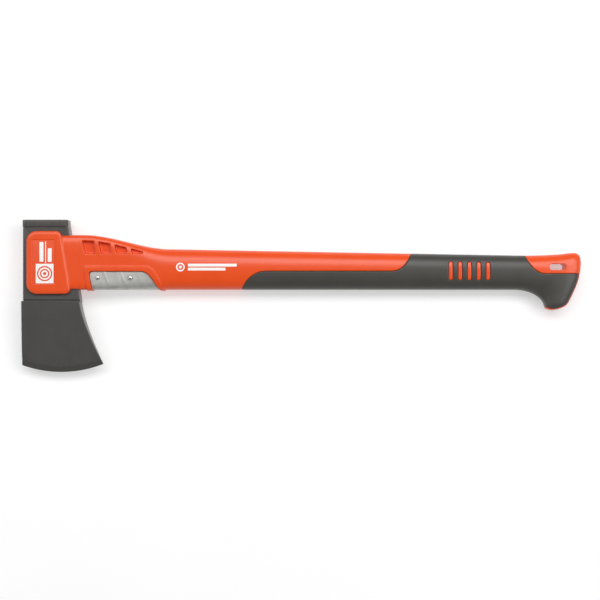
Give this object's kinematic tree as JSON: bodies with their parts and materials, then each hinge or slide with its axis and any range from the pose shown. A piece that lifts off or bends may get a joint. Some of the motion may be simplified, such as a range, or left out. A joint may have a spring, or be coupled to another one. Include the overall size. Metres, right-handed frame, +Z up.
{
  "type": "felling axe",
  "caption": "Felling axe with a forged head, a hollow-cored moulded handle, a steel neck guard and a soft grip with a hooked knob.",
  "frame": {"origin": "middle of the footprint of the axe lying on its side, on the surface it lies on", "axes": "+X along the handle from the head towards the knob, +Y from the cutting edge towards the poll, +Z up through the thickness"},
  "size_m": [0.6001, 0.163, 0.0305],
  "materials": {
    "coated_forged_steel": "satin",
    "orange_polyamide": "satin",
    "grey_elastomer": "matte",
    "zinc_plated_sheet": "satin",
    "glass_fibre_core": "matte",
    "black_plug_plastic": "matte",
    "label_film": "gloss"
  },
  "bodies": {
    "root": {"axe_head": "coated_forged_steel", "handle_jacket": "orange_polyamide", "soft_grip": "grey_elastomer", "neck_guard": "zinc_plated_sheet", "guard_rivet_front": "zinc_plated_sheet", "guard_rivet_rear": "zinc_plated_sheet", "handle_core": "glass_fibre_core", "core_plug_front": "black_plug_plastic", "core_plug_rear": "black_plug_plastic", "cheek_label_upper": "label_film", "cheek_label_lower": "label_film"}
  },
  "joints": []
}
